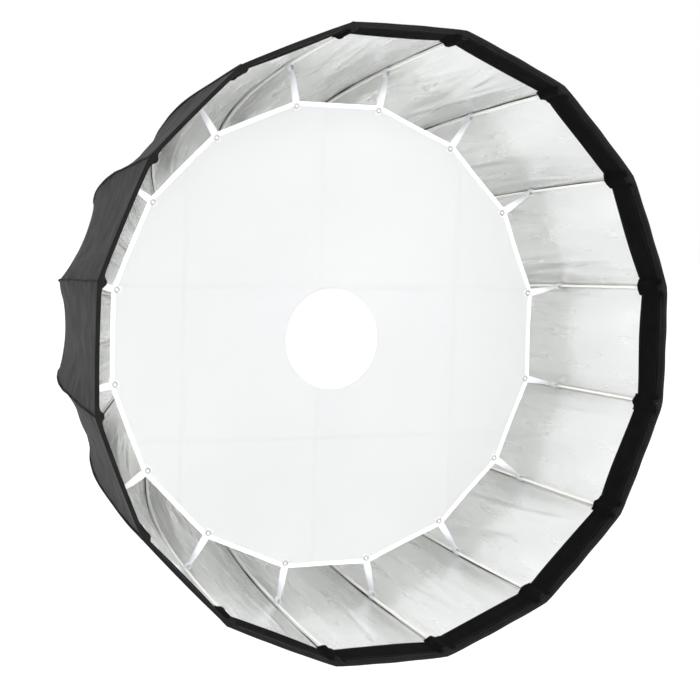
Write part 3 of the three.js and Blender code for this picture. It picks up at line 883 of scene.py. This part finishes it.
def strap_web(i):
    """Elastic tape from an eyelet to a loop round the rod. Between them its width turns a quarter from
    across the diffuser to along the rib, evenly with the way, and it draws in a little. The loop is a
    circle round the rod that runs out to the tape's end in a bell."""
    turn = rib_turns[i]
    outward, forwards = place(1.0, 0.0, 0.0, turn), place(0.0, 0.0, 1.0, turn)
    sideways = place(0.0, 1.0, 0.0, turn)
    along_rib = math.sin(STRAP_RIB_SLOPE) * outward + math.cos(STRAP_RIB_SLOPE) * forwards
    square = math.cos(STRAP_RIB_SLOPE) * outward - math.sin(STRAP_RIB_SLOPE) * forwards
    centre_of_rod = place(STRAP_RIB_RADIUS, 0.0, STRAP_FORWARD, turn)
    throat = centre_of_rod - THROAT * square
    start = place(EYELET_RADIUS_AT - STRAP_END, 0.0, STRAP_FORWARD, turn)
    way = np.linspace(0, 1, 44)[:, None]
    centre = start + way * (throat - start)
    twist = np.clip((way - TWIST_START) / (1 - TWIST_START), 0, 1)
    quarter = twist * math.pi / 2 * (1 if math.cos(turn) > 0 else -1)
    width_way = np.cos(quarter) * sideways + np.sin(quarter) * along_rib
    run_way = (throat - start) / np.linalg.norm(throat - start)
    drawn_in = 0.06 * np.sin(math.pi * np.clip((way[:, 0] - 0.15) / 0.8, 0, 1)) ** 2
    halves = STRAP_WIDTH / 2 * (1 - drawn_in)
    tape = ribbon(centre, width_way, np.cross(width_way, run_way), halves, STRAP_THICKNESS / 2)
    bend = circle(60)[:, None]
    bell = np.exp(-((np.minimum(bend, 2 * math.pi - bend) / 0.55) ** 2))
    bend_way = -np.cos(bend) * square + np.sin(bend) * sideways
    loop_centre = centre_of_rod + (LOOP_RADIUS + (THROAT - LOOP_RADIUS) * bell) * bend_way
    widths = np.broadcast_to(along_rib, loop_centre.shape)
    ahead = np.roll(loop_centre, -1, 0) - np.roll(loop_centre, 1, 0)
    ahead /= np.linalg.norm(ahead, axis=1, keepdims=True)
    loop = ribbon(loop_centre, widths, np.cross(widths, ahead), STRAP_WIDTH / 2, STRAP_THICKNESS / 2)
    bodies = [rod(tape, ribbon_cloth(way * 0.06)), hoop(loop, ribbon_cloth(bend * 0.004))]
    return make(f"strap_web_{NUMBERS[i]}", bodies, ELASTIC, 60)


def eyelet_ring(i):
    """A rolled eyelet: a flattened ring section turned round the eyelet's centre, in front and behind,
    and a barrel through the cloth between them."""
    around, section = circle(40)[:, None], circle(14)[None]

    def turned_round(spread, forward):
        """A section of spread and forward, turned round the eyelet's own axis."""
        radius, side = EYELET_RADIUS_AT + spread * np.cos(around), spread * np.sin(around)
        return hoop(place(radius, side, forward, rib_turns[i]))

    front, back = STRAP_FORWARD + 0.0007, DIFFUSER_FORWARD - HEM_HALF - 0.0002
    roll = ROLL_MIDDLE + ROLL_HALF * np.cos(section)
    rolls = [
        turned_round(roll, middle + rise * np.sin(section) + rise * 0.35 * np.cos(section))
        for rise, middle in ((0.00065, front), (-0.0005, back))
    ]
    inside, outside, behind = BARREL_INSIDE, BARREL_OUTSIDE, DIFFUSER_FORWARD - 0.001
    barrel = turned_round(
        np.array([[inside, outside, outside, inside]]), np.array([[behind, behind, front, front]])
    )
    return make(f"eyelet_ring_{NUMBERS[i]}", [*rolls, barrel], NICKEL)


# ---- Inner diffuser ----

TOWARDS_MOUTH = np.array([0.0, -1.0, 0.0])
HEM_STITCH_INSET = 0.0012
PATCH_STITCH_SHARES = (0.955, 0.925)


def diffuser_edge(angle):
    """Radius of the diffuser's straight side, by angle from the nearest corner's direction."""
    return DIFFUSER_CORNER * math.cos(HALF_PITCH) / np.cos(HALF_PITCH - np.abs(angle))


def diffuser_relief(radius, turn):
    """Slack in the diffuser: slow waves over the sheet, and short tension folds at each corner."""
    x, z = radius * np.sin(turn), radius * np.cos(turn)
    slow = 0.0011 * np.sin(9 * x + 1.3) * np.sin(7 * z + 0.4) + 0.0006 * np.sin(21 * x - 17 * z)
    edge = np.clip(radius / DIFFUSER_CORNER, 0, 1)
    pull = 0.0011 * np.cos(RIBS * (turn + HALF_PITCH)) * edge**10
    return slow * (1 - edge**4) + pull


def diffuser_cloth(i):
    """A sixteenth of the diffuser: rays from the axis to its edge, between the middles of two sides. The
    front grid runs on round the edge into the back grid. Fans of triangles close both at the axis, and
    strips of quads close the two sides."""
    share, angle = grid(0, 1, 70, 25, HALF_PITCH)
    radius = share * (diffuser_edge(angle) - 0.001)
    relief = diffuser_relief(radius, rib_turns[i] + angle)
    up, side = radius * np.cos(angle), radius * np.sin(angle)
    front, back = (
        place(up, side, DIFFUSER_FORWARD + relief + half, rib_turns[i])
        for half in (DIFFUSER_HALF, -DIFFUSER_HALF)
    )
    around = np.concatenate([front[1:], back[:0:-1]])
    points = np.concatenate([around.reshape(-1, 3), front[:1, 0], back[:1, 0]])
    rows, columns = around.shape[:2]
    index = np.arange(rows * columns).reshape(rows, columns)
    tip_front, tip_back = rows * columns, rows * columns + 1
    j = np.arange(columns - 1)
    fans = [
        np.stack([np.full(columns - 1, tip_front), index[0, j + 1], index[0, j]], -1),
        np.stack([np.full(columns - 1, tip_back), index[-1, j], index[-1, j + 1]], -1),
    ]
    row = np.arange(rows // 2 - 1)
    strips = []
    for column, step in ((0, 1), (columns - 1, -1)):
        ahead, behind = index[row, column], index[rows - 1 - row, column]
        ahead_next, behind_next = index[row + 1, column], index[rows - 2 - row, column]
        strips.append(np.stack([ahead, ahead_next, behind_next, behind][::step], -1))
        strips.append(np.array([[tip_front, index[0, column], index[-1, column], tip_back][::step]]))
    sector = part(points, [grid_faces(rows, columns), *fans, *strips], points[:, [0, 2]])
    return make(f"diffuser_cloth_{NUMBERS[i]}", [sector], POPLIN)


def diffuser_hem(i):
    """The hem: a flattened ring section that follows the two half sides next to a corner, with a row of
    stitches near each of its edges."""
    angle, section = np.linspace(-HALF_PITCH, HALF_PITCH, 41)[:, None], circle(16)[None]
    edge = diffuser_edge(angle)
    middle = DIFFUSER_FORWARD + diffuser_relief(edge, rib_turns[i] + angle)
    radius = edge - HEM_WIDTH / 2 + HEM_WIDTH / 2 * flattened(np.cos(section), 0.6)
    forward = middle + HEM_HALF * flattened(np.sin(section), 0.6)
    rings = place(radius * np.cos(angle), radius * np.sin(angle), forward, rib_turns[i])
    cloth = paired(radius, angle * edge)
    threads = []
    for inset in (HEM_STITCH_INSET, HEM_WIDTH - HEM_STITCH_INSET):
        ray = edge - inset
        line = place(ray * np.cos(angle), ray * np.sin(angle), middle + HEM_HALF * 0.93, rib_turns[i])
        threads.append(stitched_line(line[:, 0], TOWARDS_MOUTH, 0.0036, radius=0.00022))
    return make(f"diffuser_hem_{NUMBERS[i]}", [rod(rings, cloth), *threads], HEM)


def on_diffuser(radius, angle, lift):
    """Points in front of the diffuser by a lift, at a radius and angle round the patch's middle."""
    x, z = radius * np.sin(angle), radius * np.cos(angle) - PATCH_DROP
    slack = diffuser_relief(np.hypot(x, z), np.arctan2(x, z))
    return np.stack([x, -(DIFFUSER_FORWARD + slack + lift), z], -1)


def centre_patch():
    """A round double layer in the middle of the diffuser: a flat section with a raised hem, turned round
    the patch's middle, and two rings of stitches."""
    inner = np.linspace(0.02, 1, 26)
    radius = np.concatenate([inner, [1.004, 1.0], inner[-2::-1]])[:, None] * PATCH_RADIUS
    lift = np.concatenate([np.full(26, 0.0011), [0.0008, 0.0005], np.full(25, 0.0005)])[:, None]
    lift[22:26, 0] += np.array([0.0001, 0.00035, 0.0003, 0.0])
    rings = on_diffuser(radius, circle(96)[None], lift)
    around = np.append(circle(96), 2 * math.pi)
    threads = []
    for share in PATCH_STITCH_SHARES:
        line = on_diffuser(share * PATCH_RADIUS, around, 0.0013)
        threads.append(stitched_line(line, TOWARDS_MOUTH, 0.0034, radius=0.0002))
    return make("diffuser_patch", [rod(rings, rings[..., [0, 2]]), *threads], HEM)


# ---- Hub ----

insert_low, insert_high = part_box("bayonet_insert")
HUB_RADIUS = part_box("hub_ring")[1].x
cuff_low, cuff_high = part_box("rear_cuff")
BORE_RADIUS = 0.046
SPIGOT_RADIUS = 0.0495
SLEEVE_RADIUS = 0.052
FLANGE_THICKNESS = 0.008
LUGS = 3
LUG_HEIGHT = 0.005
LUG_THICKNESS = 0.004
LUG_HALF_ARC = math.radians(19)
SCREW_FORWARD = 0.00435
SCREW_RADIUS = 0.002
SCREW_TIP = 0.0725
KNOB_BASE = 0.0985
KNOB_RADIUS = 0.008
KNOB_LOBES = 5
KNOB_LOBE_HEIGHT = 0.0012
# The knob's outline along the screw: shares of its radius, at heights above its base
KNOB_SHARES = np.array([0.82, 0.93, 0.98, 1.0, 1.0, 0.97, 1.0, 1.0, 0.985, 0.93, 0.82, 0.6])
KNOB_HEIGHTS = np.array([0, 0.2, 0.7, 1.5, 4, 6.5, 9, 12, 13, 13.6, 13.9, 14]) / 1000
CUFF_RIPPLES = 95


def polar(radius, angle, forward):
    """The point at that radius and angle round the axis, that far forward."""
    return place(radius * np.cos(angle), radius * np.sin(angle), forward, 0.0)


def rounded(profile, bevel):
    """A closed outline whose corners are parabolas that start and end a bevel from the corner."""
    corner = np.array(profile)
    back, ahead = np.roll(corner, 1, 0) - corner, np.roll(corner, -1, 0) - corner
    back, ahead = (way / np.linalg.norm(way, axis=1, keepdims=True) for way in (back, ahead))
    t = np.linspace(0, 1, 5)[None, :, None]
    return (corner[:, None] + bevel * ((1 - t) ** 2 * back[:, None] + t**2 * ahead[:, None])).reshape(-1, 2)


def turned(profile, count=192):
    """A body turned round the axis from an outline of radius and forward."""
    angle = circle(count)[:, None]
    radius, forward = profile.T[:, None]
    return hoop(polar(radius, angle, forward), paired(angle * radius, forward))


def bayonet_insert():
    """A flange with a sleeve in front and a spigot behind, and lugs on the spigot for the lamp's mount."""
    flange, back, front = insert_high.x, -insert_high.y, -insert_low.y
    outline = [(BORE_RADIUS, back), (SPIGOT_RADIUS, back), (SPIGOT_RADIUS, 0), (flange, 0)]
    outline += [(flange, FLANGE_THICKNESS), (SLEEVE_RADIUS, FLANGE_THICKNESS)]
    outline += [(SLEEVE_RADIUS, front), (BORE_RADIUS, front)]
    root, top, face = (BORE_RADIUS + SPIGOT_RADIUS) / 2, SPIGOT_RADIUS + LUG_HEIGHT, back + LUG_THICKNESS
    lug = rounded([(root, back), (top, back), (top, face), (root, face)], 0.0006)
    shrunk = lug.mean(0) + 0.86 * (lug - lug.mean(0))
    swing = LUG_HALF_ARC * np.array([-1, *np.linspace(-0.98, 0.98, 15), 1])[:, None]
    profiles = np.stack([shrunk, *[lug] * 15, shrunk])
    lugs = [rod(polar(profiles[..., 0], swing + turn, profiles[..., 1])) for turn in circle(LUGS)]
    return make("insert_body", [turned(rounded(outline, 0.0007)), *lugs], ANODISED, 30)


def rear_cuff():
    """Gathered elastic: a rounded strip turned round the axis. Its outside ripples as two sines round the
    axis, and two rows of stitches run along it."""
    inside, outside = HUB_RADIUS + 0.0003, cuff_high.x - 0.0004
    back, front = -cuff_high.y + 0.0003, -cuff_low.y - 0.0003
    strip = rounded([(inside, back), (outside, back), (outside, front), (inside, front)], 0.0011)
    angle = circle(900)[:, None]
    ripple = 0.0004 * np.sin(CUFF_RIPPLES * angle) + 0.00015 * np.sin(37 * angle + 1)
    share = (strip[:, 0] - inside) / (outside - inside)
    rings = polar(strip[:, 0] + (ripple - 0.00015) * share, angle, strip[:, 1])
    cloth = paired(strip[:, 0] * angle, strip[:, 1] + strip[:, 0])
    bend = np.linspace(0, 2 * math.pi, 600)
    rows = []
    for forward in (back + 0.0018, front - 0.0018):
        line = polar(outside - 0.0001 + 0.0003 * np.sin(CUFF_RIPPLES * bend), bend, forward)
        rows.append(stitched_line(line, None, 0.0036))
    return make("cuff_elastic", [hoop(rings, cloth), *rows], CUFF, 60)


def clamp_screw():
    """A round stem and a lobed knob: circles, and outlines whose radius rises as a cosine at each lobe."""
    angle = circle(100)[None]

    def along_screw(radius, down):
        """Rings round the screw's axis, which points straight down from the hub."""
        x, forward = -radius * np.cos(angle), SCREW_FORWARD + radius * np.sin(angle)
        return np.stack(np.broadcast_arrays(x, -forward, -down), -1)

    stem_at = np.array([SCREW_TIP, SCREW_TIP + 0.0006, KNOB_BASE + 0.001])[:, None]
    stem = along_screw(SCREW_RADIUS * np.array([[0.7], [1], [1]]), stem_at)
    lobed = KNOB_RADIUS + KNOB_LOBE_HEIGHT * np.cos(KNOB_LOBES * angle)
    knob = along_screw(lobed * KNOB_SHARES[:, None], KNOB_BASE + KNOB_HEIGHTS[:, None])
    return make("clamp_knob", [rod(stem), rod(knob)], PLASTIC, 50)


def area_of(points):
    """Area of a grid of points: the sum over its cells of half the cross product of their diagonals."""
    diagonals = points[1:, 1:] - points[:-1, :-1], points[1:, :-1] - points[:-1, 1:]
    return float(np.linalg.norm(np.cross(*diagonals), axis=-1).sum() / 2)


# ---- Putting the shade together ----

GORE_AREA = area_of(gore_surface(*grid(0, RIB_LENGTH, 80, 9), SKIN_AWAY, 0.0, 0.0))

draw = np.random.default_rng(16)
for i, number in enumerate(NUMBERS):
    skin, lining = gore_skin(i, draw), gore_lining(i, draw)
    band, binding, stitching = lip_band(i, draw), edge_binding(i), lip_stitching(i)
    for piece in (skin, lining, band, binding, stitching):
        bend_with_gore(piece, i)
    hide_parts(f"gore_{number}")
    rod_piece, foot, welt, pocket = rib_rod(i), rib_foot(i), seam_welt(i, draw), tip_pocket(i, draw)
    web, eyelet = strap_web(i), eyelet_ring(i)
    for piece in (rod_piece, foot, welt, pocket, web, eyelet):
        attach(piece, f"rib_{number}")
    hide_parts(f"rib_{number}")
    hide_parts(f"strap_{number}")
    cloth, hem = diffuser_cloth(i), diffuser_hem(i)
    for piece in (cloth, hem):
        bend_with_diffuser(piece, i)
    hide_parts("inner_diffuser")

patch = centre_patch()
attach(patch, "hub")
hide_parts("centre_patch")

insert, cuff, screw = bayonet_insert(), rear_cuff(), clamp_screw()
for piece, body, node in (
    (insert, "mount", "bayonet_insert"), (cuff, "hub", "rear_cuff"), (screw, "clamp_screw", "clamp_screw")
):
    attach(piece, body)
    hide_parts(node)
carried_over = {"hub_ring": PLASTIC, "hub_cover": PLASTIC, "ring_nut": ANODISED, "hinge_wire": STEEL}
for node, finish in carried_over.items():
    bpy.data.objects[node].material_slots[0].material = finish

# ---- Studio ----

CAMERA_PLACE = (-1.1978, -3.0205, 0.1768)
CAMERA_YAW = math.radians(26.085)
CAMERA_PITCH = math.radians(4.04)
CAMERA_ROLL = math.radians(1.571)
CAMERA_LENS = 95.6
CAMERA_SENSOR = 36

camera = bpy.data.objects.new("Camera", bpy.data.cameras.new("Camera"))
bpy.context.scene.collection.objects.link(camera)
bpy.context.scene.camera = camera
camera.location = CAMERA_PLACE
camera.rotation_mode = "XYZ"
camera.data.sensor_width = CAMERA_SENSOR
camera.data.lens = CAMERA_LENS
camera.rotation_euler = (
    Matrix.Rotation(-CAMERA_YAW, 3, "Z")
    @ Matrix.Rotation(math.pi / 2 - CAMERA_PITCH, 3, "X")
    @ Matrix.Rotation(CAMERA_ROLL, 3, "Z")
).to_euler()


def area_light(name, place_at, aim, size, watts):
    """A square soft light, turned to its aim."""
    lamp = bpy.data.lights.new(name, "AREA")
    lamp.shape, lamp.size, lamp.energy = "SQUARE", size, watts
    light = bpy.data.objects.new(name, lamp)
    light.location = place_at
    aim_way = np.array(aim) - np.array(place_at)
    light.rotation_euler = Vector(aim_way).to_track_quat("-Z", "Y").to_euler()
    bpy.context.scene.collection.objects.link(light)


area_light("Key light", (-0.9, -4.8, 1.7), (0, -0.4, 0), 2.2, 125)
area_light("Fill light", (2.2, -4.4, 0.4), (0, -0.4, 0), 2.4, 62)

world = bpy.data.worlds.new("Studio")
bpy.context.scene.world = world
world.use_nodes = True
world.node_tree.nodes["Background"].inputs["Color"].default_value = (1, 1, 1, 1)
world.node_tree.nodes["Background"].inputs["Strength"].default_value = 1.0
bpy.context.scene.view_settings.view_transform = "Standard"

FLOOR_HALF = 60.0
FLOOR_LEVEL = -1.4
floor_mesh = bpy.data.meshes.new("Floor")
floor_corners = [
    (x * FLOOR_HALF, y * FLOOR_HALF, FLOOR_LEVEL) for x, y in ((-1, -1), (1, -1), (1, 1), (-1, 1))
]
floor_mesh.from_pydata(floor_corners, [], [(0, 1, 2, 3)])
floor_finish = Finish("Pale floor", (0.86, 0.86, 0.86), 0.9)
floor_finish.shader.inputs["Emission Color"].default_value = (1, 1, 1, 1)
floor_finish.shader.inputs["Emission Strength"].default_value = 0.25
floor_finish.bump(floor_finish.noise("Object", 12, 3), 0.002, 0.3)
floor_mesh.materials.append(floor_finish.material)
floor = bpy.data.objects.new("Floor", floor_mesh)
bpy.context.scene.collection.objects.link(floor)
